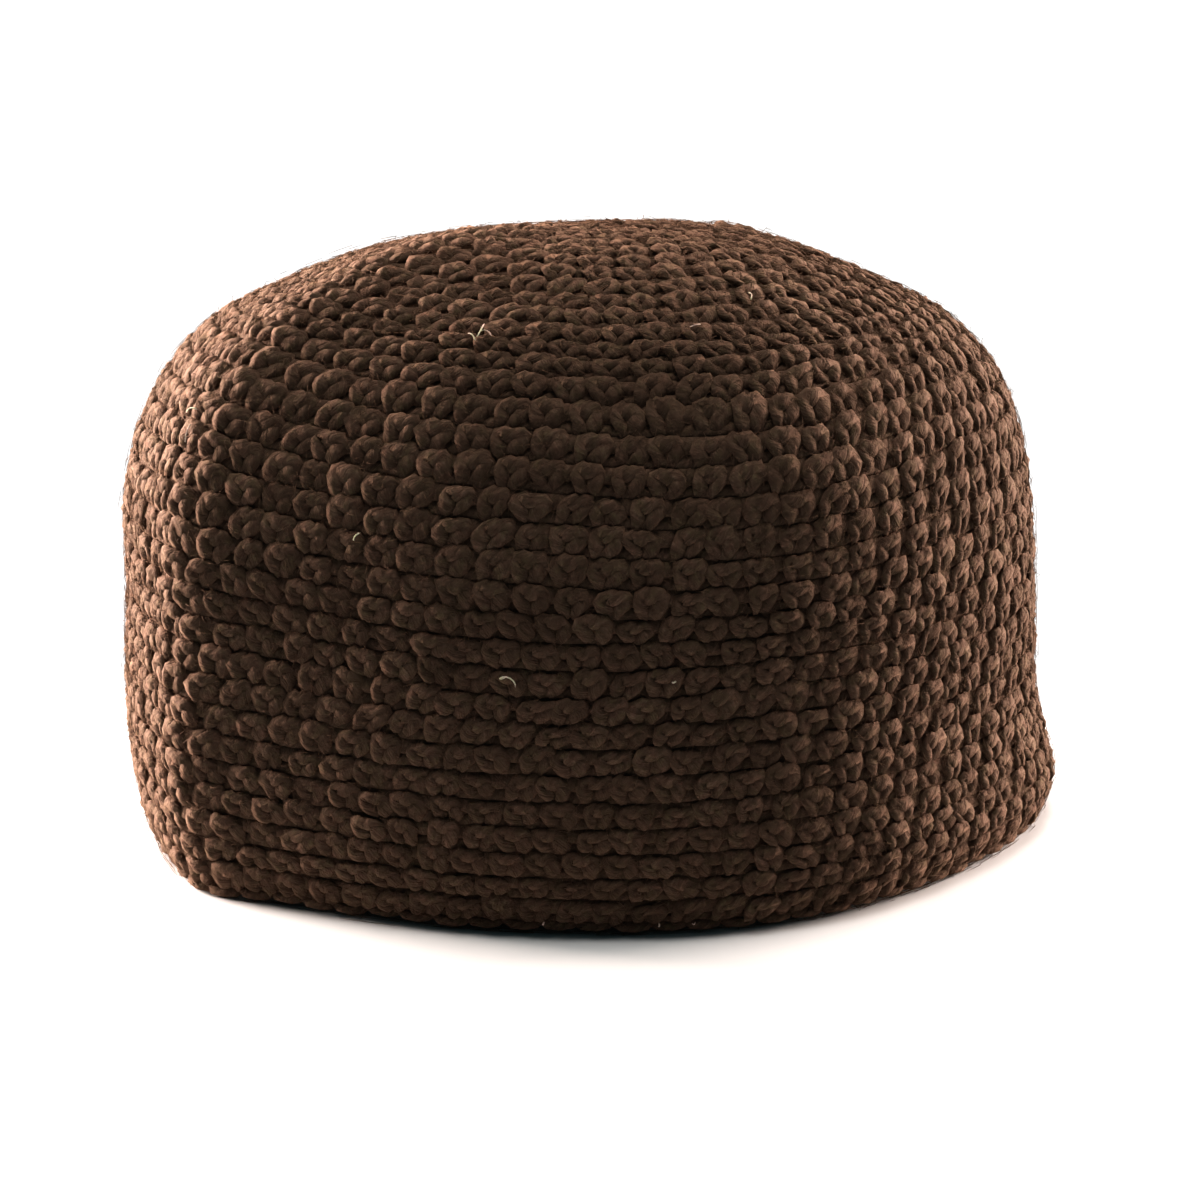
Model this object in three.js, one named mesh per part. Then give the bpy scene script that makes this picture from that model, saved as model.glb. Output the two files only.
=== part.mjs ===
import * as THREE from 'three';

// A hand-crocheted kufi, in millimetres. It stands on its open edge on the XY plane with +Z up.
// The cap is one piece of work, crocheted in rounds from the middle of the crown down to the edge.
// It was stored flat, so a fold line runs up one side, over the crown and down the opposite side.

// Sizes of the cap
const capWidth = 198;
const capDepth = 154;
const capHeight = 128;
const wallThickness = 4;

// The rounds of stitches show outside as ribs with a groove between each two
const roundCount = 33;
const grooveDepth = 1.1;

// The open edge seen from above. Directions are in degrees from +X, turning towards +Y.
// Reach is a share of an oval that is capWidth wide and capDepth deep.
const edgeRows = [
  { direction: 0, reach: 0.953 },
  { direction: 30, reach: 0.975 },
  { direction: 60, reach: 0.996 },
  { direction: 90, reach: 1.0 },
  { direction: 120, reach: 1.001 },
  { direction: 150, reach: 1.01 },
  { direction: 180, reach: 1.009 },
  { direction: 210, reach: 1.011 },
  { direction: 240, reach: 1.012 },
  { direction: 270, reach: 1.019 },
  { direction: 300, reach: 1.017 },
  { direction: 330, reach: 0.96 },
];

// Sections from the edge to the middle of the crown. Height is a share of capHeight, spread is a share
// of the edge's own reach, and shift is how far the section lies to the right, as a share of capWidth.
const sectionRows = [
  { height: 0, spread: 1, shift: 0 },
  { height: 0.08, spread: 1.037, shift: 0.005 },
  { height: 0.24, spread: 1.037, shift: -0.002 },
  { height: 0.44, spread: 1.024, shift: -0.002 },
  { height: 0.6, spread: 1.007, shift: -0.006 },
  { height: 0.74, spread: 0.951, shift: -0.004 },
  { height: 0.85, spread: 0.835, shift: -0.005 },
  { height: 0.93, spread: 0.625, shift: -0.009 },
  { height: 0.98, spread: 0.405, shift: -0.011 },
  { height: 1, spread: 0, shift: -0.006 },
];

// The crown leans this far towards the back, as a share of capDepth
const crownLean = 0.011;

// The fold line. Rise is the height of its ridge over the crown as a share of capHeight, ridgeWidth is
// the ridge's width as a share of capWidth, and ridgeStart is the height where the ridge begins.
const foldDirection = 213;
const ridgeRise = 0.018;
const ridgeWidth = 0.12;
const ridgeStart = 0.6;

// The two corners of the fold. Turn is from foldDirection in degrees, reach is a share of capWidth, and
// width is in degrees: the corner is sharp in the middle and runs out softly on both sides.
const cornerRows = [
  { turn: 0, reach: 0.039, width: 13.5 },
  { turn: 180, reach: 0.025, width: 15 },
];
const cornerSoftness = 2;

// Swellings and dents of the soft wall. Height is a share of capHeight, across is in degrees, tall is a
// share of capHeight, and depth is a share of capWidth, outwards when it is positive.
const dentRows = [
  { direction: 1, height: 0, across: 21.5, tall: 0.13, depth: 0.031 },
  { direction: 297, height: 0.72, across: 13, tall: 0.16, depth: 0.008 },
  { direction: 277, height: 0.8, across: 7, tall: 0.14, depth: -0.006 },
  { direction: 262, height: 0.4, across: 20, tall: 0.2, depth: 0.004 },
  { direction: 232, height: 0.55, across: 11, tall: 0.28, depth: -0.007 },
];

// How finely the soft form is divided
const edgeSegments = 60;
const riseSteps = 180;
const innerRings = 15;

const yarnColour = 0x3a2a22;

const turnFrom = (direction, middle) => THREE.MathUtils.euclideanModulo(direction - middle + 180, 360) - 180;

// A smooth curve through table rows that close into a ring
function ringValue(rows, key, direction) {
  const step = 360 / rows.length;
  const place = THREE.MathUtils.euclideanModulo(direction, 360) / step;
  const first = Math.floor(place);
  const part = place - first;
  const [a, b, c, d] = [-1, 0, 1, 2].map((k) => rows[(first + k + rows.length) % rows.length][key]);
  const slopeB = (c - a) / 2;
  const slopeC = (d - b) / 2;
  return b + part * (slopeB + part * (3 * (c - b) - 2 * slopeB - slopeC + part * (slopeB + slopeC - 2 * (c - b))));
}

// One curve carries all three columns of the sections. It goes one row beyond the middle of the crown,
// so that the crown is level there.
const beyond = sectionRows[sectionRows.length - 2];
const sectionPoints = sectionRows.map((row) => new THREE.Vector3(row.spread, row.height, row.shift));
sectionPoints.push(new THREE.Vector3(-beyond.spread, beyond.height, beyond.shift));
const sectionCurve = new THREE.CatmullRomCurve3(sectionPoints, false, 'centripetal');
const crownMiddle = (sectionRows.length - 1) / (sectionPoints.length - 1);

function edgeReach(direction) {
  const angle = THREE.MathUtils.degToRad(direction);
  const oval = 1 / Math.hypot((2 * Math.cos(angle)) / capWidth, (2 * Math.sin(angle)) / capDepth);
  let reach = oval * ringValue(edgeRows, 'reach', direction);
  for (const corner of cornerRows) {
    const turn = Math.hypot(turnFrom(direction, foldDirection + corner.turn), cornerSoftness);
    reach += corner.reach * capWidth * Math.exp(-turn / corner.width);
  }
  return reach;
}

// The smooth outside, without ribs. Climb goes from 0 at the edge to 1 in the middle of the crown.
function skinPoint(direction, climb) {
  const angle = THREE.MathUtils.degToRad(direction);
  const section = sectionCurve.getPoint(climb * crownMiddle);
  const spread = Math.max(section.x, 0);
  const height = Math.max(section.y, 0);
  let reach = edgeReach(direction) * spread;
  for (const dent of dentRows) {
    const across = turnFrom(direction, dent.direction) / dent.across;
    const tall = (height - dent.height) / dent.tall;
    reach += dent.depth * capWidth * spread * Math.exp(-(across ** 2) - tall ** 2);
  }
  const x = reach * Math.cos(angle);
  const y = reach * Math.sin(angle);
  const foldAngle = THREE.MathUtils.degToRad(foldDirection);
  const fromFold = Math.abs(y * Math.cos(foldAngle) - x * Math.sin(foldAngle)) / (ridgeWidth * capWidth);
  const onCrown = THREE.MathUtils.smoothstep(height, ridgeStart, 1);
  const ridge = ridgeRise * onCrown * Math.exp(-Math.hypot(fromFold, 0.12));
  return new THREE.Vector3(
    x + section.z * capWidth,
    y + crownLean * capDepth * height,
    (height + ridge) * capHeight,
  );
}

function skinNormal(direction, climb) {
  const turnStep = 0.5;
  const climbStep = 0.002;
  const around = skinPoint(direction + turnStep, climb).sub(skinPoint(direction - turnStep, climb));
  const high = skinPoint(direction, Math.min(climb + climbStep, 1));
  const up = high.sub(skinPoint(direction, Math.max(climb - climbStep, 0)));
  return around.cross(up).normalize();
}

// For one direction, the climb at a given share of the way over the skin from the edge to the middle
function climbTable(direction) {
  const lengths = [0];
  let last = skinPoint(direction, 0);
  for (let k = 1; k <= riseSteps; k += 1) {
    const next = skinPoint(direction, k / riseSteps);
    lengths.push(lengths[k - 1] + next.distanceTo(last));
    last = next;
  }
  return lengths.map((length) => length / lengths[riseSteps]);
}

const directions = Array.from({ length: edgeSegments }, (_, k) => foldDirection + (360 * k) / edgeSegments);
const climbTables = directions.map(climbTable);

function climbAt(index, share) {
  const table = climbTables[index];
  let k = 1;
  while (k < riseSteps && table[k] < share) {
    k += 1;
  }
  return (k - 1 + (share - table[k - 1]) / (table[k] - table[k - 1])) / riseSteps;
}

// A ring of points on the skin or below it. Near the middle of the crown it takes every second or
// every fourth direction only.
function makeRing(share, depth, flat) {
  const stride = share > 0.84 ? 4 : share > 0.64 ? 2 : 1;
  const ring = [];
  for (let k = 0; k < edgeSegments; k += stride) {
    const climb = climbAt(k, share);
    const normal = skinNormal(directions[k], climb);
    if (flat) {
      normal.setZ(0).normalize();
    }
    const point = skinPoint(directions[k], climb).addScaledVector(normal, -depth);
    if (flat) {
      point.setZ(0);
    }
    ring.push(point);
  }
  return ring;
}

const positions = [];
const indices = [];

function addRing(ring) {
  const first = positions.length / 3;
  for (const point of ring) {
    positions.push(point.x, point.y, point.z);
  }
  return ring.map((_, k) => first + k);
}

function addFace(a, b, c, turned) {
  indices.push(...(turned ? [a, c, b] : [a, b, c]));
}

// Joins two rings, of which the upper one may have half as many points
function joinRings(lower, upper, turned) {
  const stride = lower.length / upper.length;
  for (let k = 0; k < upper.length; k += 1) {
    const next = (k + 1) % upper.length;
    const a = lower[k * stride];
    const b = lower[(k * stride + 1) % lower.length];
    const c = lower[(k * stride + stride) % lower.length];
    addFace(a, b, upper[k], turned);
    if (stride === 2) {
      addFace(b, c, upper[k], turned);
    }
    addFace(c, upper[next], upper[k], turned);
  }
}

function closeRing(ring, middle, turned) {
  ring.forEach((corner, k) => addFace(corner, ring[(k + 1) % ring.length], middle, turned));
}

// Outside: the edge, then a crest and a groove for each round, up to the middle of the crown
const outerEdge = addRing(makeRing(0, grooveDepth, true));
let outerRing = outerEdge;
for (let half = 1; half < 2 * roundCount; half += 1) {
  const ring = addRing(makeRing(half / (2 * roundCount), half % 2 ? 0 : grooveDepth, false));
  joinRings(outerRing, ring, false);
  outerRing = ring;
}
const [outerMiddle] = addRing([skinPoint(foldDirection, 1).add(new THREE.Vector3(0, 0, -grooveDepth))]);
closeRing(outerRing, outerMiddle, false);

// Inside: smooth, one wall below the skin
const innerEdge = addRing(makeRing(0, wallThickness, true));
let innerRing = innerEdge;
for (let k = 1; k < innerRings; k += 1) {
  const ring = addRing(makeRing(k / innerRings, wallThickness, false));
  joinRings(innerRing, ring, true);
  innerRing = ring;
}
const [innerMiddle] = addRing([skinPoint(foldDirection, 1).add(new THREE.Vector3(0, 0, -wallThickness))]);
closeRing(innerRing, innerMiddle, true);

// The flat underside of the edge joins the two
outerEdge.forEach((corner, k) => {
  const next = (k + 1) % outerEdge.length;
  addFace(corner, innerEdge[k], outerEdge[next], false);
  addFace(outerEdge[next], innerEdge[k], innerEdge[next], false);
});

const capShape = new THREE.BufferGeometry();
capShape.setAttribute('position', new THREE.Float32BufferAttribute(positions, 3));
capShape.setIndex(indices);
capShape.computeVertexNormals();

// The origin is below the middle of the cap, on the surface that it rests on
capShape.computeBoundingBox();
const middle = capShape.boundingBox.getCenter(new THREE.Vector3());
capShape.translate(-middle.x, -middle.y, 0);

const yarn = new THREE.MeshStandardMaterial({ color: yarnColour, roughness: 0.95, metalness: 0 });
const crochetedCap = new THREE.Mesh(capShape, yarn);
crochetedCap.name = 'crocheted_cap';

const kufi = new THREE.Group();
kufi.add(crochetedCap);

export default kufi;
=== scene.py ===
import math

import bmesh
import bpy
import numpy as np
from mathutils import Matrix, Vector
from mathutils.bvhtree import BVHTree


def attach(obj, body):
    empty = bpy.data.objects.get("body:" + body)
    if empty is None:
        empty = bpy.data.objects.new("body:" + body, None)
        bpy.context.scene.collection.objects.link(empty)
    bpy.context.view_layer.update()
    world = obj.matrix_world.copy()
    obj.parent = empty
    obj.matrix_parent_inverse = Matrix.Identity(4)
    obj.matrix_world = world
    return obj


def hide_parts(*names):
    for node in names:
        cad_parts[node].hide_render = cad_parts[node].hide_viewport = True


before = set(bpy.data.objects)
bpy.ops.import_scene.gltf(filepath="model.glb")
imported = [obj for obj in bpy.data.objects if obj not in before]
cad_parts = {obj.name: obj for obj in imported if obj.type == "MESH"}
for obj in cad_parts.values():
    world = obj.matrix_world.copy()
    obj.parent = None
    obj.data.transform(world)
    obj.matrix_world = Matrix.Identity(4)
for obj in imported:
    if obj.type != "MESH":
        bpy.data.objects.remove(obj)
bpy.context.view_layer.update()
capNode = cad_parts["crocheted_cap"]
chance = np.random.default_rng(11)
mm = 0.001
print("frame loaded")


# The skin of the cap as a map: turn goes around from the back, climb from the edge to the crown's middle

skin = {
    "rounds": 33,  # rounds of stitches from the edge to the middle
    "rowsPerRound": 12,
    "columns": 180,
    "hub": 45 * mm,  # height of the point that the rays aim at
    "ribDepth": 1.1 * mm,  # ribs of the solid, which the map smooths away
    "rays": 260,  # aimed at each meridian
    "rayReach": 0.3,
    "edgeHeight": 0.4 * mm,  # where the first ray looks for the edge
    "lowest": -0.03,  # climbs that a place on the skin may have
    "highest": 0.9995,
    "measuredRing": 40,  # the ring whose length counts as the way around
}


def readMeridians():
    corners = [v.co for v in capNode.data.vertices]
    tree = BVHTree.FromPolygons(corners, [tuple(p.vertices) for p in capNode.data.polygons])
    hub = Vector((0, 0, skin["hub"]))
    rows = skin["rounds"] * skin["rowsPerRound"] + 1
    meridians = np.zeros((skin["columns"], rows, 3))
    for column in range(skin["columns"]):
        angle = math.radians(90) + math.tau * column / skin["columns"]
        outward = Vector((math.cos(angle), math.sin(angle), 0))
        edge = tree.ray_cast(outward * skin["rayReach"] + Vector((0, 0, skin["edgeHeight"])), -outward)[0]
        lowest = -math.atan2(skin["hub"] - edge.z, edge.to_2d().length)
        hits = []
        for tilt in np.linspace(lowest, math.radians(90), skin["rays"]):
            ray = outward * math.cos(tilt) + Vector((0, 0, math.sin(tilt)))
            hits.append(tree.ray_cast(hub + ray * skin["rayReach"], -ray)[0])
        hits = np.array(hits)
        steps = np.linalg.norm(np.diff(hits, axis=0), axis=1)
        along = np.concatenate([[0], np.cumsum(steps)])
        even = np.linspace(0, along[-1], rows)
        for axis in range(3):
            meridians[column, :, axis] = np.interp(even, along, hits[:, axis])
    return meridians


def smoothRibs(meridians):
    # the mean over one round leaves the ribs out; beyond the middle lies the opposite meridian
    half = skin["rowsPerRound"] // 2
    below = 2 * meridians[:, :1] - meridians[:, half:0:-1]
    opposite = np.roll(meridians, skin["columns"] // 2, axis=0)[:, -2 : -half - 2 : -1]
    longer = np.concatenate([below, meridians, opposite], axis=1)
    weights = np.ones(2 * half + 1)
    weights[[0, -1]] = 0.5
    weights /= weights.sum()
    rows = meridians.shape[1]
    return sum(w * longer[:, k : k + rows] for k, w in enumerate(weights))


def evenRings(meridians):
    rings = np.transpose(meridians, (1, 0, 2))
    columns = skin["columns"]
    result = rings.copy()
    for row, ring in enumerate(rings[:-1]):
        closed = np.vstack([ring, ring[:1]])
        along = np.concatenate([[0], np.cumsum(np.linalg.norm(np.diff(closed, axis=0), axis=1))])
        even = np.linspace(0, along[-1], columns, endpoint=False)
        for axis in range(3):
            result[row, :, axis] = np.interp(even, along, closed[:, axis])
    result[-1] = rings[-1].mean(axis=0)
    return result


def skinNormals(rings):
    around = np.roll(rings, -1, axis=1) - np.roll(rings, 1, axis=1)
    upward = np.gradient(rings, axis=0)
    normals = np.cross(around, upward)
    normals[-1] = (0, 0, 1)
    return normals / np.maximum(np.linalg.norm(normals, axis=2, keepdims=True), 1e-12)


foldLine = {  # the crease of a cap that was stored flat
    "direction": 215.5,  # degrees
    "rise": 2.4 * mm,
    "backRise": 1.2 * mm,  # on the far side
    "width": 8 * mm,
    "softness": 1.5 * mm,
    "middle": 35 * mm,  # it fades this close to the crown's middle
}


def creaseFold(rings):
    direction = math.radians(foldLine["direction"])
    along = rings[..., 0] * math.cos(direction) + rings[..., 1] * math.sin(direction)
    across = rings[..., 1] * math.cos(direction) - rings[..., 0] * math.sin(direction)
    rise = np.where(along > 0, foldLine["rise"], foldLine["backRise"])
    rise *= np.clip(abs(along) / foldLine["middle"], 0, 1)
    rise *= np.exp(-np.hypot(across, foldLine["softness"]) / foldLine["width"])
    return rings + skinNormals(rings) * rise[..., None]


skinRings = creaseFold(evenRings(smoothRibs(readMeridians())))
skinNormal = skinNormals(skinRings)
skinRings = skinRings + skinNormal * skin["ribDepth"] / 2
climbLength = np.linalg.norm(np.diff(skinRings, axis=0), axis=2).sum(axis=0).mean()
measured = skinRings[skin["measuredRing"]]
edgeLength = np.linalg.norm(measured - np.roll(measured, 1, axis=0), axis=1).sum()
print("skin mapped, climb", round(climbLength / mm, 1), "mm, around", round(edgeLength / mm, 1), "mm")


def onSkin(turn, climb, out):
    rows, columns = skinRings.shape[:2]
    row = np.clip(climb, skin["lowest"], skin["highest"]) * (rows - 1)
    low = np.clip(np.floor(row).astype(int), 0, rows - 2)
    part = (row - low)[:, None]
    column = (turn % 1) * columns
    left = np.floor(column).astype(int) % columns
    right = (left + 1) % columns
    side = (column - np.floor(column))[:, None]

    def blend(grid):
        lower = grid[low, left] * (1 - side) + grid[low, right] * side
        upper = grid[low + 1, left] * (1 - side) + grid[low + 1, right] * side
        return lower * (1 - part) + upper * part

    return blend(skinRings) + blend(skinNormal) * out[:, None]


# Yarn: a circle carried along a path

def sweepYarn(shape, closed):
    path, thickness, sides = shape["path"], shape["thickness"], shape["sides"]
    mesh = bmesh.new()
    aroundLayer = mesh.verts.layers.float.new("around")
    alongLayer = mesh.verts.layers.float.new("along")
    points = [Vector(p) * mm for p in path]
    count = len(points)
    ring = bmesh.ops.create_circle(mesh, segments=sides, radius=1)["verts"]
    ring.sort(key=lambda v: math.atan2(v.co.y, v.co.x))
    flat = [v.co.copy() for v in ring]
    edges = list(mesh.edges)
    firstEdges = edges
    side = Vector((0, 0, 1))
    length = 0.0
    for k, point in enumerate(points):
        if closed:
            along = points[(k + 1) % count] - points[k - 1]
        elif 0 < k < count - 1:
            along = points[k + 1] - points[k - 1]
        else:
            # both ends of an open strand lie square, so that the copies meet
            along = Vector((1, 0, 0))
        along.normalize()
        if not closed:
            side = Vector((0, 0, 1))
        side = (side - along * side.dot(along)).normalized()
        other = along.cross(side)
        if k:
            length += (point - points[k - 1]).length
            grown = bmesh.ops.extrude_edge_only(mesh, edges=edges)["geom"]
            fresh = {v for v in grown if isinstance(v, bmesh.types.BMVert)}
            edges = [e for e in grown if isinstance(e, bmesh.types.BMEdge) and set(e.verts) <= fresh]
            following = []
            for v in ring:
                following.append(next(e.other_vert(v) for e in v.link_edges if e.other_vert(v) in fresh))
            ring = following
        radius = thickness[k] * mm / 2
        for index, v in enumerate(ring):
            v.co = point + (side * flat[index].x * shape["flat"] + other * flat[index].y) * radius
            v[aroundLayer] = index / sides
            v[alongLayer] = length
    total = length
    if closed:
        total += (points[0] - points[-1]).length
        bmesh.ops.bridge_loops(mesh, edges=firstEdges + edges)
    bmesh.ops.recalc_face_normals(mesh, faces=mesh.faces)
    if not closed:
        # an open strand has no inside to tell by, so its first face settles the side
        face = mesh.faces[0]
        middle = (points[0] + points[1]) / 2
        if face.normal.dot(face.calc_center_median() - middle) < 0:
            bmesh.ops.reverse_faces(mesh, faces=mesh.faces)
    uvLayer = mesh.loops.layers.uv.new("yarn")
    for face in mesh.faces:
        face.smooth = True
        arounds = [loop.vert[aroundLayer] for loop in face.loops]
        alongs = [loop.vert[alongLayer] for loop in face.loops]
        for loop, around, along in zip(face.loops, arounds, alongs):
            if max(arounds) - around > 0.5:
                around += 1
            if max(alongs) - along > total / 2:
                along += total
            loop[uvLayer].uv = (around, along / mm)
    result = bpy.data.meshes.new("yarn")
    mesh.to_mesh(result)
    mesh.free()
    return result


def roundPath(shape):
    # the same closed path with more points, drawn as a smooth curve
    rows = np.array([list(point) + [size] for point, size in zip(shape["path"], shape["thickness"])])
    place = np.arange(shape["points"]) * len(rows) / shape["points"]
    first = np.floor(place).astype(int)
    part = (place - first)[:, None]
    a, b, c, d = (rows[(first + k) % len(rows)] for k in (-1, 0, 1, 2))
    square = (2 * a - 5 * b + 4 * c - d) / 2
    cube = (3 * b - 3 * c + d - a) / 2
    smooth = b + part * ((c - a) / 2 + part * (square + part * cube))
    return {**shape, "path": smooth[:, :3].tolist(), "thickness": smooth[:, 3].tolist()}


def arrayCopies(template, count, spacing):
    # one row of copies, made by an Array modifier
    holder = bpy.data.objects.new("row", template)
    bpy.context.collection.objects.link(holder)
    array = holder.modifiers.new("copies", "ARRAY")
    array.count = count
    array.use_relative_offset = False
    array.use_constant_offset = True
    array.constant_offset_displace = (spacing, 0, 0)
    array.offset_v = spacing / mm
    bpy.context.view_layer.update()
    row = bpy.data.meshes.new_from_object(holder.evaluated_get(bpy.context.evaluated_depsgraph_get()))
    bpy.data.objects.remove(holder)
    return row


# Stitches. Across, up and out are in mm from the middle of the groove below, seen from outside

stitch = {
    "width": 7.3,
    "height": 5.8,
    "aroundWall": 80,  # stitches in a round of the wall
    "aroundFirst": 6,  # stitches in the first round of the crown
    "sides": 6,
    "path": [
        (-0.7, -0.5, -2.1),
        (-1.2, 0.9, -1.45),
        (-1.9, 2.2, -1.3),
        (-2.1, 3.3, -1.45),
        (-1.2, 3.7, -1.2),
        (0.0, 3.3, -1.25),
        (1.2, 3.7, -1.2),
        (2.1, 3.3, -1.45),
        (1.9, 2.2, -1.3),
        (1.2, 0.9, -1.45),
        (0.7, -0.5, -2.1),
        (0.0, 0.1, -3.0),
    ],
    "thickness": [2.8, 3.4, 3.6, 3.5, 3.6, 3.7, 3.6, 3.5, 3.6, 3.4, 2.8, 2.8],
    "points": 15,  # along the smoothed path
    "flat": 0.62,  # depth of the yarn against its width
    "lean": 0.1,
    "leanSpread": 0.15,
    "sizeSpread": 0.07,
    "shiftSpread": 0.25,  # mm
    "depthSpread": 0.16,  # mm
    "turnPerRound": 0.43,  # each round starts this share of a stitch further on
    "turnSpread": 0.1,
    "upShare": 0.6,  # what moves a stitch up, against what moves it around
}

groove = {  # the yarn that runs on behind the grooves
    "path": [(-3.65, 0.0, -2.7), (-1.2, 0.3, -2.6), (1.2, -0.2, -2.8), (3.65, 0.0, -2.7)],
    "thickness": [3.5, 3.8, 3.7, 3.5],
    "flat": 0.85,
    "sides": 5,
}

backBump = {  # the short bar that each stitch shows inside
    "path": [(-3.65, 3.1, -2.3), (-1.1, 3.2, -2.6), (1.1, 3.3, -2.6), (3.65, 3.1, -2.3)],
    "thickness": [4.0, 4.3, 4.3, 4.0],
    "flat": 0.8,
    "sides": 5,
}

edgeChain = {  # the last loops of the work, which lie flat along the edge
    "path": [
        (-3.5, 1.35, -2.3),
        (-1.4, 1.3, -1.35),
        (1.4, 1.2, -1.2),
        (3.4, 1.25, -1.6),
        (4.15, 1.35, -2.4),
        (3.4, 1.45, -3.3),
        (1.4, 1.4, -3.6),
        (-1.4, 1.45, -3.4),
    ],
    "thickness": [2.0, 2.4, 2.5, 2.4, 2.3, 2.4, 2.5, 2.4],
    "flat": 1.0,
    "sides": 6,
    "tall": 2.2,  # mm that the loops take of the first round
    "shiftSpread": 0.03,  # share of a stitch
    "liftFrom": -0.1,  # mm
    "liftTo": 0.25,  # mm
    "depthSpread": 0.15,  # mm
}

roundRows = [  # how tall the rounds are, against each other
    {"round": 0, "tall": 1.49},
    {"round": 1, "tall": 0.88},
    {"round": 5, "tall": 1.0},
    {"round": 7, "tall": 0.93},
    {"round": 9, "tall": 1.0},
    {"round": 10.5, "tall": 0.86},
    {"round": 12, "tall": 1.03},
    {"round": 14, "tall": 1.08},
    {"round": 16, "tall": 1.04},
    {"round": 18, "tall": 1.13},
    {"round": 19, "tall": 0.88},
    {"round": 21, "tall": 0.72},
    {"round": 22, "tall": 0.95},
    {"round": 26, "tall": 1.08},
    {"round": 32, "tall": 1.08},
]

tallSpread = 0.02

sagRows = [  # places where the rounds hang lower; turn is a share of the way around, drop is in mm
    {"turn": 0.57, "round": 15.5, "across": 0.055, "tall": 5.0, "drop": 2.4},
    {"turn": 0.4, "round": 12, "across": 0.05, "tall": 5.0, "drop": -0.8},
]

tall = np.interp(np.arange(skin["rounds"]), [r["round"] for r in roundRows], [r["tall"] for r in roundRows])
tall *= 1 + chance.normal(0, tallSpread, skin["rounds"])
roundStarts = np.concatenate([[0], np.cumsum(tall)]) / tall.sum()

roundWaves = {  # hand work: every round runs a little up and down
    "count": 5,
    "size": 0.16 * mm,
}

waveTurns = chance.uniform(0, 1, roundWaves["count"])
waveSizes = chance.normal(0, 1, (skin["rounds"] + 1, roundWaves["count"]))
waveSizes = (np.roll(waveSizes, 1, axis=0) + 2 * waveSizes + np.roll(waveSizes, -1, axis=0)) / 4


def roundWave(turn, roundPlace):
    total = np.zeros_like(turn)
    for k in range(roundWaves["count"]):
        size = np.interp(roundPlace, np.arange(len(waveSizes)), waveSizes[:, k])
        total += size * np.sin(math.tau * ((k + 2) * turn + waveTurns[k]))
    return total * roundWaves["size"]


def sag(turn, roundPlace):
    total = np.zeros_like(turn)
    for row in sagRows:
        across = ((turn - row["turn"] + 0.5) % 1 - 0.5) / row["across"]
        up = (roundPlace - row["round"]) / row["tall"]
        total += row["drop"] * mm * np.exp(-(across**2) - up**2)
    return total


uneven = {  # no two stitches are drawn up alike
    "waves": 16,
    "shortest": 3.2,  # mm
    "longest": 9.0,  # mm
    "size": 0.18,  # mm
}

unevenLengths = chance.uniform(uneven["shortest"], uneven["longest"], (3, uneven["waves"])) * mm
unevenHeadings = chance.uniform(0, math.tau, (3, uneven["waves"]))
unevenStarts = chance.uniform(0, math.tau, (3, uneven["waves"]))


def pullAbout(axis, turn, rise):
    # a soft random push in mm, the same on both sides of the place where a round closes
    total = np.zeros_like(turn)
    for length, heading, start in zip(unevenLengths[axis], unevenHeadings[axis], unevenStarts[axis]):
        around = round(edgeLength / length * math.cos(heading))
        upward = math.tau / length * math.sin(heading)
        total += np.sin(math.tau * around * turn + upward * rise + start)
    return total * uneven["size"] * mm * math.sqrt(2 / uneven["waves"])


def readPlaces(mesh, count):
    places = np.zeros(len(mesh.vertices) * 3)
    mesh.vertices.foreach_get("co", places)
    return places.reshape(-1, 3), np.arange(len(mesh.vertices)) // (len(mesh.vertices) // count)


floorGap = 0.05 * mm


def lay(mesh, turn, level, out):
    # nothing goes through the floor
    laid = onSkin(turn, level, out)
    laid[:, 2] = np.maximum(laid[:, 2], floorGap)
    mesh.vertices.foreach_set("co", laid.ravel())


def addTone(mesh, copy, count):
    tone = mesh.attributes.new("tone", "FLOAT", "POINT")
    tone.data.foreach_set("value", chance.uniform(0, 1, count)[copy])


ringLengths = np.linalg.norm(skinRings - np.roll(skinRings, 1, axis=1), axis=2).sum(axis=1)
middleRows = (roundStarts[:-1] + roundStarts[1:]) / 2 * (len(ringLengths) - 1)
roundLengths = np.interp(middleRows, np.arange(len(ringLengths)), ringLengths)
stitchCounts = np.rint(roundLengths / (stitch["width"] * mm)).astype(int)
stitchCounts = np.clip(stitchCounts, stitch["aroundFirst"], stitch["aroundWall"])
print("stitches in the rounds", stitchCounts.tolist())


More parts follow.
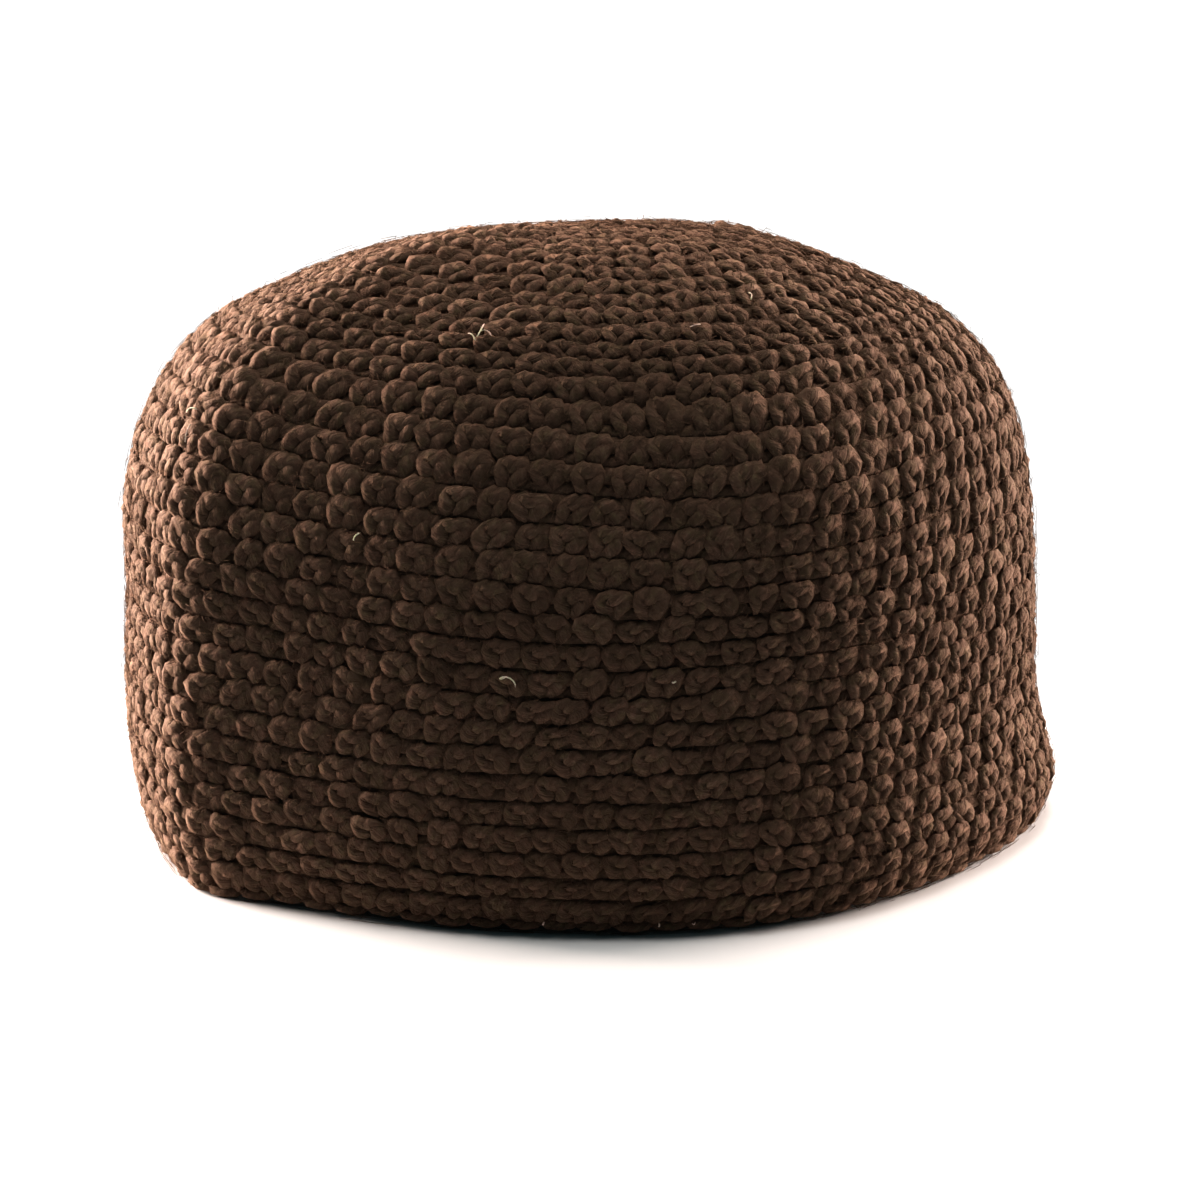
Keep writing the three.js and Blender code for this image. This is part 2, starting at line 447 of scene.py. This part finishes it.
def dressRound(template, index, loose):
    # one round of copies laid on the skin; loose copies differ a little from each other
    count = stitchCounts[index]
    width = stitch["width"] * mm
    mesh = arrayCopies(template, count, width)
    places, copy = readPlaces(mesh, count)
    across = places[:, 0] - copy * width
    up = places[:, 1].copy()
    out = places[:, 2].copy()
    height = (roundStarts[index + 1] - roundStarts[index]) * climbLength
    drift = np.zeros(count)
    if loose:
        pick = lambda spread: chance.normal(0, spread, count)[copy]
        across *= 1 + pick(stitch["sizeSpread"])
        up *= 1 + pick(stitch["sizeSpread"])
        across += up * (stitch["lean"] + pick(stitch["leanSpread"]))
        drift = chance.normal(0, stitch["shiftSpread"] * mm, count)
        up += pick(stitch["shiftSpread"] * stitch["upShare"] * mm)
        out += pick(stitch["depthSpread"] * mm)
    phase = stitch["turnPerRound"] * index + stitch["turnSpread"] * waveSizes[index, 0]
    turn = (phase + copy + (across + drift[copy]) / width) / count
    bottom = edgeChain["tall"] * mm if index == 0 else 0
    rise = bottom + up / (stitch["height"] * mm) * (height - bottom)
    place = index + rise / height
    if loose:
        high = roundStarts[index] * climbLength + rise
        turn = turn + pullAbout(0, turn, high) / roundLengths[index]
        rise = rise + pullAbout(1, turn, high) * stitch["upShare"]
        out = out + pullAbout(2, turn, high)
    level = roundStarts[index] + (rise + roundWave(turn, place) - sag(turn, place)) / climbLength
    lay(mesh, turn, level, out)
    addTone(mesh, copy, count)
    return mesh


weldDistance = 0.002 * mm  # the ends of the open strands meet closer than this


def joinPiece(name, meshes, weld=False):
    mesh = bmesh.new()
    for part in meshes:
        mesh.from_mesh(part)
        bpy.data.meshes.remove(part)
    if weld:
        bmesh.ops.remove_doubles(mesh, verts=mesh.verts, dist=weldDistance)
    result = bpy.data.meshes.new(name)
    mesh.to_mesh(result)
    mesh.free()
    piece = bpy.data.objects.new(name, result)
    bpy.context.collection.objects.link(piece)
    print(name, "has", sum(len(p.vertices) - 2 for p in result.polygons), "triangles")
    return piece


stitchMesh = sweepYarn(roundPath(stitch), True)
grooveMesh = sweepYarn(groove, False)
bumpMesh = sweepYarn(backBump, False)

chainMesh = sweepYarn(edgeChain, True)

knotRadius = 1.3  # mm
knotAngles = np.arange(8) * math.pi / 4

crownKnot = {  # the ring of yarn that the work starts from
    "path": [(knotRadius * math.cos(angle), knotRadius * math.sin(angle), 0) for angle in knotAngles],
    "thickness": [2.7] * len(knotAngles),
    "flat": 0.9,
    "sides": 6,
    "depth": 1.5,  # mm
}


def dressMiddle():
    mesh = sweepYarn(crownKnot, True)
    places, copy = readPlaces(mesh, 1)
    middle = onSkin(np.zeros(1), np.ones(1), np.full(1, -crownKnot["depth"] * mm))
    mesh.vertices.foreach_set("co", (places + middle).ravel())
    addTone(mesh, copy, 1)
    return mesh


bands = {"lower_wall": (0, 9), "upper_wall": (9, 18), "crown": (18, skin["rounds"])}
pieces = []
for name, (first, last) in bands.items():
    meshes = []
    for index in range(first, last):
        meshes.append(dressRound(stitchMesh, index, True))
        meshes.append(dressRound(grooveMesh, index, False))
        meshes.append(dressRound(bumpMesh, index, False))
    if name == "crown":
        meshes.append(dressMiddle())
    pieces.append(joinPiece(name, meshes, weld=True))


def dressEdge():
    # the chain of loops that closes the last round
    count = stitch["aroundWall"]
    width = stitch["width"] * mm
    mesh = arrayCopies(chainMesh, count, width)
    places, copy = readPlaces(mesh, count)
    across = places[:, 0] - copy * width
    turn = (copy + across / width + chance.normal(0, edgeChain["shiftSpread"], count)[copy]) / count
    lift = chance.uniform(edgeChain["liftFrom"], edgeChain["liftTo"], count)[copy] * mm
    out = places[:, 2] + chance.normal(0, edgeChain["depthSpread"], count)[copy] * mm
    lay(mesh, turn, (places[:, 1] + lift) / climbLength, out)
    addTone(mesh, copy, count)
    return mesh


pieces.append(joinPiece("edge_chain", [dressEdge()]))


# Loose fibres that stand off the yarn

fuzz = {
    "pieces": 2,
    "fibres": 16500,  # in each piece
    "radius": 0.05,  # mm
    "shortest": 1.3,  # mm
    "longest": 4.6,  # mm
    "root": 0.4,  # mm below the knobs' tops, times a share from rootFrom to rootTo
    "rootFrom": 0.7,
    "rootTo": 2.2,
    "rise": 0.22,  # mm above them, on the mean
    "standing": 0.25,  # share of fibres whose end stays up
    "highest": 1.3,  # mm that a fibre rises at most
    "tipFrom": 0.6,  # share of a fibre's length where its tip begins
    "tipHeight": 0.5,  # most of its rise that the tip of a lying fibre keeps, as a share
    "sides": 3,
    "steps": 2,
    "spacing": 2.0,  # mm between the copies before they are laid
    "curlSpread": 0.4,
    "levelFrom": 0.008,  # share of the way up, for the roots
    "levelTo": 0.995,
    "lowest": 0.003,
    "smallRing": 20 * mm,  # rings count as at least this long, so that no fibre winds round the middle
}


def makeFibre(radius, sides, steps):
    # a straight fibre, 1 mm long, which runs out into a point
    mesh = bmesh.new()
    ring = bmesh.ops.create_circle(mesh, cap_ends=True, segments=sides, radius=radius * mm)["verts"]
    bmesh.ops.rotate(mesh, verts=ring, matrix=Matrix.Rotation(math.radians(90), 3, "Y"))
    for step in range(steps):
        edges = [e for e in mesh.edges if all(abs(v.co.x - step / steps * mm) < 1e-8 for v in e.verts)]
        grown = bmesh.ops.extrude_edge_only(mesh, edges=edges)["geom"]
        fresh = [v for v in grown if isinstance(v, bmesh.types.BMVert)]
        bmesh.ops.translate(mesh, vec=(mm / steps, 0, 0), verts=fresh)
    bmesh.ops.pointmerge(mesh, verts=fresh, merge_co=(1 * mm, 0, 0))
    bmesh.ops.recalc_face_normals(mesh, faces=mesh.faces)
    for face in mesh.faces:
        face.smooth = True
    result = bpy.data.meshes.new("fibre")
    mesh.to_mesh(result)
    mesh.free()
    return result


def dressFuzz(template):
    count = fuzz["fibres"]
    spacing = fuzz["spacing"] * mm
    mesh = arrayCopies(template, count, spacing)
    places, copy = readPlaces(mesh, count)
    share = (places[:, 0] - copy * spacing) / mm
    rows = chance.choice(len(ringLengths), count, p=ringLengths / ringLengths.sum())
    level = (rows + chance.uniform(-0.5, 0.5, count)) / (len(ringLengths) - 1)
    level = np.clip(level, fuzz["levelFrom"], fuzz["levelTo"])
    turn = chance.uniform(0, 1, count)
    around = np.maximum(ringLengths[rows], fuzz["smallRing"])
    heading = chance.uniform(0, math.tau, count)
    length = chance.triangular(fuzz["shortest"], fuzz["shortest"] * 1.5, fuzz["longest"], count) * mm
    curl = chance.normal(0, fuzz["curlSpread"], count)
    root = fuzz["root"] * chance.uniform(fuzz["rootFrom"], fuzz["rootTo"], count) * mm
    rise = chance.exponential(fuzz["rise"] * mm, count).clip(0, fuzz["highest"] * mm) + root
    standing = chance.uniform(0, 1, count) < fuzz["standing"]
    end = np.where(standing, rise, rise * chance.uniform(0.0, fuzz["tipHeight"], count))
    forward = length[copy] * share
    sideways = curl[copy] * length[copy] * share**2 + places[:, 1]
    across = forward * np.cos(heading[copy]) - sideways * np.sin(heading[copy])
    upward = forward * np.sin(heading[copy]) + sideways * np.cos(heading[copy])
    body = rise[copy] * np.minimum(share * fuzz["steps"], 1)
    out = np.where(share < fuzz["tipFrom"], body, end[copy]) - root[copy] + places[:, 2]
    climb = np.maximum(level[copy] + upward / climbLength, fuzz["lowest"])
    lay(mesh, turn[copy] + across / around[copy], climb, out)
    addTone(mesh, copy, count)
    return mesh


fibreMesh = makeFibre(fuzz["radius"], fuzz["sides"], fuzz["steps"])
for number in range(fuzz["pieces"]):
    pieces.append(joinPiece("loose_fibres_" + str(number + 1), [dressFuzz(fibreMesh)]))


# Pale lint that has caught in the yarn, found by its direction in degrees and its height in mm

lint = {
    "radius": 0.15,  # mm
    "sides": 4,
    "steps": 6,
    "lift": 0.7,  # mm above the knobs
    "arch": 0.5,  # mm that a hair's middle stands higher
    "spacing": 2.0,  # mm between the copies before they are laid
    "reach": 90 * mm,  # rough distance of the skin from the cap's axis
    "hairs": [
        {"direction": 257.8, "height": 52.2, "heading": 45, "length": 4.6, "bend": -150},
        {"direction": 257.6, "height": 52.3, "heading": 10, "length": 1.4, "bend": 20},
        {"direction": 248.2, "height": 112.2, "heading": 70, "length": 4.0, "bend": 40},
        {"direction": 248.9, "height": 113.1, "heading": 15, "length": 3.0, "bend": -70},
        {"direction": 248.6, "height": 111.6, "heading": 130, "length": 2.6, "bend": 35},
        {"direction": 303.1, "height": 117.6, "heading": 40, "length": 2.8, "bend": 60},
        {"direction": 287.7, "height": 113.6, "heading": -20, "length": 2.6, "bend": 70},
        {"direction": 212.7, "height": 91.8, "heading": 85, "length": 3.6, "bend": 30},
        {"direction": 212.0, "height": 96.5, "heading": 60, "length": 3.0, "bend": -60},
        {"direction": 278.8, "height": 51.1, "heading": 10, "length": 0.9, "bend": 20},
        {"direction": 236.0, "height": 76.0, "heading": 75, "length": 2.2, "bend": -40},
        {"direction": 263.2, "height": 3.2, "heading": 60, "length": 0.9, "bend": 30},
        {"direction": 277.4, "height": 3.0, "heading": 80, "length": 1.1, "bend": 30},
        {"direction": 282.4, "height": 3.4, "heading": 20, "length": 0.7, "bend": 20},
        {"direction": 60.0, "height": 70.0, "heading": 30, "length": 3.0, "bend": 60},
    ],
}


def findPlace(direction, height):
    angles = np.degrees(np.arctan2(skinRings[..., 1], skinRings[..., 0]))
    sideways = np.radians((angles - direction + 180) % 360 - 180) * lint["reach"]
    upward = skinRings[..., 2] - height * mm
    row, column = np.unravel_index((sideways**2 + upward**2).argmin(), angles.shape)
    return column / skin["columns"], row / (skinRings.shape[0] - 1), ringLengths[row]


def dressLint():
    hairs = lint["hairs"]
    spacing = lint["spacing"] * mm
    mesh = arrayCopies(makeFibre(lint["radius"], lint["sides"], lint["steps"]), len(hairs), spacing)
    places, copy = readPlaces(mesh, len(hairs))
    share = (places[:, 0] - copy * spacing) / mm
    turn, level, around = np.array([findPlace(hair["direction"], hair["height"]) for hair in hairs]).T
    length = np.array([hair["length"] * mm for hair in hairs])[copy]
    heading = np.radians([hair["heading"] for hair in hairs])[copy]
    bend = np.radians([hair["bend"] for hair in hairs])[copy]
    across = length / bend * (np.sin(heading + bend * share) - np.sin(heading))
    upward = length / bend * (np.cos(heading) - np.cos(heading + bend * share))
    across -= places[:, 1] * np.sin(heading + bend * share)
    upward += places[:, 1] * np.cos(heading + bend * share)
    out = np.sin(share * math.pi) * lint["arch"] * mm + lint["lift"] * mm + places[:, 2]
    lay(mesh, turn[copy] + across / around[copy], level[copy] + upward / climbLength, out)
    addTone(mesh, copy, len(hairs))
    return mesh


pieces.append(joinPiece("caught_lint", [dressLint()]))


# The yarn's finish

class Wire:
    # a shader socket that can be reckoned with
    def __init__(self, tree, socket):
        self.tree = tree
        self.socket = socket

    def node(self, kind, settings, inputs, output=0):
        node = self.tree.nodes.new(kind)
        for name, value in settings.items():
            if name == "stops":
                for stop in range(len(value) - 2):
                    node.color_ramp.elements.new(0.5)
                for element, (position, colour) in zip(node.color_ramp.elements, value):
                    element.position = position
                    element.color = colour
            else:
                setattr(node, name, value)
        for name, value in inputs.items():
            if isinstance(value, Wire):
                self.tree.links.new(value.socket, node.inputs[name])
            else:
                node.inputs[name].default_value = value
        return Wire(self.tree, node.outputs[output])

    def reckon(self, operation, first, second=0.0):
        return self.node("ShaderNodeMath", {"operation": operation}, {0: first, 1: second})

    def __add__(self, other):
        return self.reckon("ADD", self, other)

    def __radd__(self, other):
        return self.reckon("ADD", other, self)

    def __mul__(self, other):
        return self.reckon("MULTIPLY", self, other)

    def __rmul__(self, other):
        return self.reckon("MULTIPLY", other, self)

    def __sub__(self, other):
        return self.reckon("SUBTRACT", self, other)

    def __rsub__(self, other):
        return self.reckon("SUBTRACT", other, self)


yarnLook = {
    "brown": [(0.0045, 0.0035, 0.0026, 1), (0.0212, 0.0153, 0.0109, 1), (0.084, 0.0595, 0.043, 1)],
    "pale": [(0.25, 0.22, 0.18, 1), (0.42, 0.38, 0.32, 1), (0.6, 0.56, 0.5, 1)],
    "tints": [(0.35, (0.8, 1.0, 0.74, 1)), (0.5, (1.0, 1.0, 1.0, 1)), (0.65, (1.22, 0.96, 1.0, 1))],
    "plies": 3,
    "plyPitch": 7.0,  # mm of yarn for one turn of its plies
    "fibreAcross": 20.0,  # fibre streaks around the yarn
    "fibreAlong": 0.7,  # streaks in a mm
    "toneStep": 40,  # how far apart the streaks of the darkest and the lightest copy lie in the noise
    "plyFluff": 0.4,  # how far the fluff frays the plies
    "middleBrown": 0.45,  # the shade that has the second brown
    "roughness": 0.9,
    "sheen": 0.16,
    "sheenRoughness": 0.9,
    "sheenTint": (1.0, 0.6, 0.4, 1),
    "relief": 0.42,  # mm
    "shine": 0.08,
    "shade": {"streaks": 1.1, "fluff": 1.1, "plies": 0.35, "tone": 0.22, "patches": 0.4, "less": 1.32},
    "height": {"plies": 0.4, "streaks": 0.7, "fluff": 0.7},
    "streaks": {"Scale": 1.0, "Detail": 3.0, "Roughness": 0.6},
    "fluff": {"Scale": 1300.0, "Detail": 3.0, "Roughness": 0.6},
    "patches": {"Scale": 70.0, "Detail": 2.0},
    "blotches": {"Scale": 420.0, "Detail": 2.0},
}


def yarnMaterial(name, colours):
    material = bpy.data.materials.new(name)
    material.use_nodes = True
    tree = material.node_tree
    tree.nodes.clear()
    coords = Wire(tree, tree.nodes.new("ShaderNodeTexCoord").outputs["Object"])
    uv = coords.node("ShaderNodeUVMap", {"uv_map": "yarn"}, {})
    tone = coords.node("ShaderNodeAttribute", {"attribute_name": "tone"}, {}, "Fac")
    around = uv.node("ShaderNodeSeparateXYZ", {}, {0: uv}, "X")
    along = uv.node("ShaderNodeSeparateXYZ", {}, {0: uv}, "Y")
    twist = around + along * (1 / yarnLook["plyPitch"])
    streakPlace = twist.node(
        "ShaderNodeCombineXYZ",
        {},
        {
            "X": twist * yarnLook["fibreAcross"],
            "Y": along * yarnLook["fibreAlong"],
            "Z": tone * yarnLook["toneStep"],
        },
    )
    streaks = coords.node("ShaderNodeTexNoise", {}, {"Vector": streakPlace, **yarnLook["streaks"]})
    fluff = coords.node("ShaderNodeTexNoise", {}, {"Vector": coords, **yarnLook["fluff"]})
    patches = coords.node("ShaderNodeTexNoise", {}, {"Vector": coords, **yarnLook["patches"]})
    swing = (twist * yarnLook["plies"] + fluff * yarnLook["plyFluff"]) * math.pi
    plies = swing.reckon("ABSOLUTE", swing.reckon("SINE", swing))
    share = yarnLook["shade"]
    shade = streaks * share["streaks"] + fluff * share["fluff"] + plies * share["plies"]
    shade = shade + tone * share["tone"] + patches * share["patches"] - share["less"]
    colour = shade.node(
        "ShaderNodeValToRGB",
        {"stops": [(0.0, colours[0]), (yarnLook["middleBrown"], colours[1]), (1.0, colours[2])]},
        {"Fac": shade},
    )
    blotches = coords.node("ShaderNodeTexNoise", {}, {"Vector": coords, **yarnLook["blotches"]})
    tint = blotches.node("ShaderNodeValToRGB", {"stops": yarnLook["tints"]}, {"Fac": blotches})
    colour = colour.node(
        "ShaderNodeMixRGB",
        {"blend_type": "MULTIPLY"},
        {"Fac": 1.0, "Color1": colour, "Color2": tint},
        "Color",
    )
    share = yarnLook["height"]
    relief = plies * share["plies"] + streaks * share["streaks"] + fluff * share["fluff"]
    depth = yarnLook["relief"] * mm
    normal = relief.node("ShaderNodeBump", {}, {"Height": relief, "Strength": 1.0, "Distance": depth})
    shader = colour.node(
        "ShaderNodeBsdfPrincipled",
        {},
        {
            "Base Color": colour,
            "Roughness": yarnLook["roughness"],
            "Specular IOR Level": yarnLook["shine"],
            "Sheen Weight": yarnLook["sheen"],
            "Sheen Roughness": yarnLook["sheenRoughness"],
            "Sheen Tint": yarnLook["sheenTint"],
            "Normal": normal,
        },
    )
    output = tree.nodes.new("ShaderNodeOutputMaterial")
    tree.links.new(shader.socket, output.inputs["Surface"])
    return material


brownYarn = yarnMaterial("brown_yarn", yarnLook["brown"])
paleLint = yarnMaterial("pale_lint", yarnLook["pale"])
for piece in pieces:
    piece.data.materials.clear()
    piece.data.materials.append(paleLint if piece.name == "caught_lint" else brownYarn)
    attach(piece, "root")
    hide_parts("crocheted_cap")
print("yarn dressed")


# Floor, light and camera

studio = {
    "floor": (0.5, 0.51, 0.52, 1),
    "floorRadius": 6,
    "floorSegments": 96,
    "floorRoughness": 0.95,
    "floorShine": 0.1,
    "whiteFrom": 0.092,  # m from the cap, where the floor starts to run out into white
    "whiteAt": 0.18,
    "fill": 0.09,
    "fillColour": (0.5, 0.84, 0.9, 1),
    "backdrop": 1.0,
    "lights": [
        {
            "name": "overhead",
            "kind": "SUN",
            "place": (0, 0, 2),
            "aim": (0, 0, 0),
            "power": 2.9,
            "softness": 22,
            "colour": (1, 0.95, 0.9),
        },
        {
            "name": "left_softbox",
            "kind": "AREA",
            "place": (-1.16, 0.58, 0.28),
            "aim": (0, 0, 0.06),
            "size": (0.75, 0.75),
            "power": 208,
            "colour": (1, 0.82, 0.73),
        },
        {
            "name": "right_softbox",
            "kind": "AREA",
            "place": (1.18, 0.55, 0.3),
            "aim": (0, 0, 0.06),
            "size": (0.75, 0.75),
            "power": 96,
            "colour": (1, 0.82, 0.73),
        },
    ],
    "lens": 61.25,
    "eye": (-0.00065, -0.442, 0.1595),
    "look": (0.003, 0.969, -0.247),
}


def paleMaterial():
    material = bpy.data.materials.new("pale_floor")
    material.use_nodes = True
    tree = material.node_tree
    tree.nodes.clear()
    coords = Wire(tree, tree.nodes.new("ShaderNodeTexCoord").outputs["Object"])
    away = coords.node("ShaderNodeVectorMath", {"operation": "LENGTH"}, {0: coords}, "Value")
    run = away.node(
        "ShaderNodeMapRange",
        {"interpolation_type": "SMOOTHSTEP"},
        {"Value": away, "From Min": studio["whiteFrom"], "From Max": studio["whiteAt"]},
    )
    matte = run.node(
        "ShaderNodeBsdfPrincipled",
        {},
        {
            "Base Color": studio["floor"],
            "Roughness": studio["floorRoughness"],
            "Specular IOR Level": studio["floorShine"],
        },
    )
    white = run.node("ShaderNodeEmission", {}, {"Color": (1, 1, 1, 1), "Strength": 1.0})
    mixed = run.node("ShaderNodeMixShader", {}, {"Fac": run, 1: matte, 2: white})
    output = tree.nodes.new("ShaderNodeOutputMaterial")
    tree.links.new(mixed.socket, output.inputs["Surface"])
    return material


def makeFloor():
    mesh = bmesh.new()
    segments, radius = studio["floorSegments"], studio["floorRadius"]
    bmesh.ops.create_circle(mesh, cap_ends=True, segments=segments, radius=radius)
    result = bpy.data.meshes.new("floor")
    mesh.to_mesh(result)
    mesh.free()
    floor = bpy.data.objects.new("floor", result)
    bpy.context.collection.objects.link(floor)
    result.materials.append(paleMaterial())


def addLight(row):
    kind = row["kind"]
    light = bpy.data.lights.new(row["name"], kind)
    light.energy = row["power"]
    light.color = row["colour"]
    if kind == "AREA":
        light.shape = "RECTANGLE"
        light.size, light.size_y = row["size"]
    else:
        light.angle = math.radians(row["softness"])
    lamp = bpy.data.objects.new(row["name"], light)
    bpy.context.collection.objects.link(lamp)
    lamp.location = row["place"]
    lamp.rotation_euler = (Vector(row["aim"]) - Vector(row["place"])).to_track_quat("-Z", "Y").to_euler()
    lamp.visible_camera = False


makeFloor()
for row in studio["lights"]:
    addLight(row)


def makeWorld():
    # a white room to look at, which gives only a weak light of its own
    world = bpy.data.worlds.new("studio")
    world.use_nodes = True
    tree = world.node_tree
    tree.nodes.clear()
    seen = Wire(tree, tree.nodes.new("ShaderNodeLightPath").outputs["Is Camera Ray"])
    room = seen.node("ShaderNodeBackground", {}, {"Color": studio["fillColour"], "Strength": studio["fill"]})
    backdrop = seen.node("ShaderNodeBackground", {}, {"Color": (1, 1, 1, 1), "Strength": studio["backdrop"]})
    mixed = seen.node("ShaderNodeMixShader", {}, {"Fac": seen, 1: room, 2: backdrop})
    output = tree.nodes.new("ShaderNodeOutputWorld")
    tree.links.new(mixed.socket, output.inputs["Surface"])
    bpy.context.scene.world = world


makeWorld()

camera = bpy.data.cameras.new("camera")
camera.sensor_width = 36
camera.lens = studio["lens"]
camera.clip_start = 0.01
eye = bpy.data.objects.new("camera", camera)
bpy.context.collection.objects.link(eye)
eye.location = studio["eye"]
eye.rotation_euler = Vector(studio["look"]).to_track_quat("-Z", "Y").to_euler()
bpy.context.scene.camera = eye
bpy.context.scene.view_settings.view_transform = "Standard"
bpy.context.scene.view_settings.look = "Medium High Contrast"
print("studio set")
